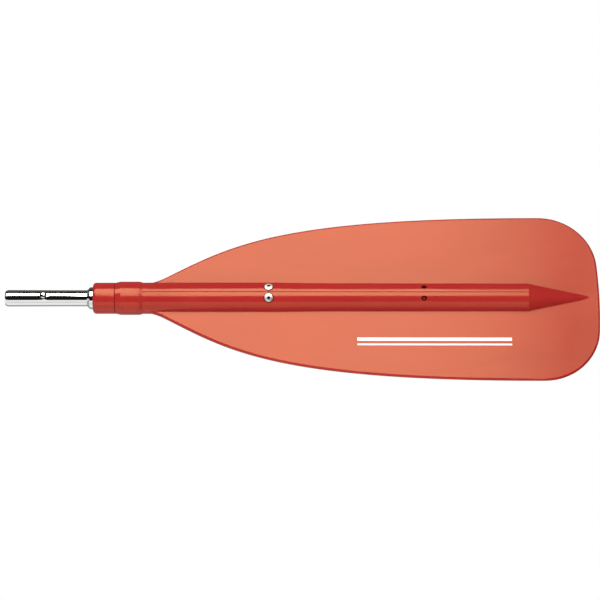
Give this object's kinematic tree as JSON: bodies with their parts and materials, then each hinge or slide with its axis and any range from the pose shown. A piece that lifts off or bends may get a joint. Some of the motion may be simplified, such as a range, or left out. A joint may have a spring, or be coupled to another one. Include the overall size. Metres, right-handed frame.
{
  "type": "paddle blade",
  "caption": "Flat moulded paddle blade on a round hollow spine, riveted to a metal tube whose reduced end is a spigot with a spring button for locking on a shaft.",
  "frame": {"origin": "on the tube's axis at the shoulder behind the spigot, where the end of a mating shaft stops", "axes": "+X along the tube's axis towards the blade's tip, +Z the normal of the blade's front face, on the side of the button and rivets, +Y across the blade"},
  "size_m": [0.6854, 0.2058, 0.0384],
  "materials": {
    "red_plastic": "glossy",
    "collar_plastic": "glossy",
    "polished_tube": "polished",
    "button_steel": "polished",
    "spring_steel": "satin",
    "rivet_metal": "satin",
    "rivet_pin_steel": "satin"
  },
  "bodies": {
    "paddle": {"blade": "red_plastic", "socket_collar": "collar_plastic", "spigot_tube": "polished_tube", "button_spring": "spring_steel", "rivet_upper": "rivet_metal", "rivet_lower": "rivet_metal", "rivet_pin_upper": "rivet_pin_steel", "rivet_pin_lower": "rivet_pin_steel"},
    "button": {"snap_button": "button_steel"}
  },
  "joints": [
    {"name": "button_press", "type": "slide", "parent": "paddle", "child": "button", "axis": [0, 0, 1], "range_m": [-0.0032, 0], "stiffness_N_per_m": 1500, "springref_m": 0.002, "deforming": ["button_spring"]}
  ]
}
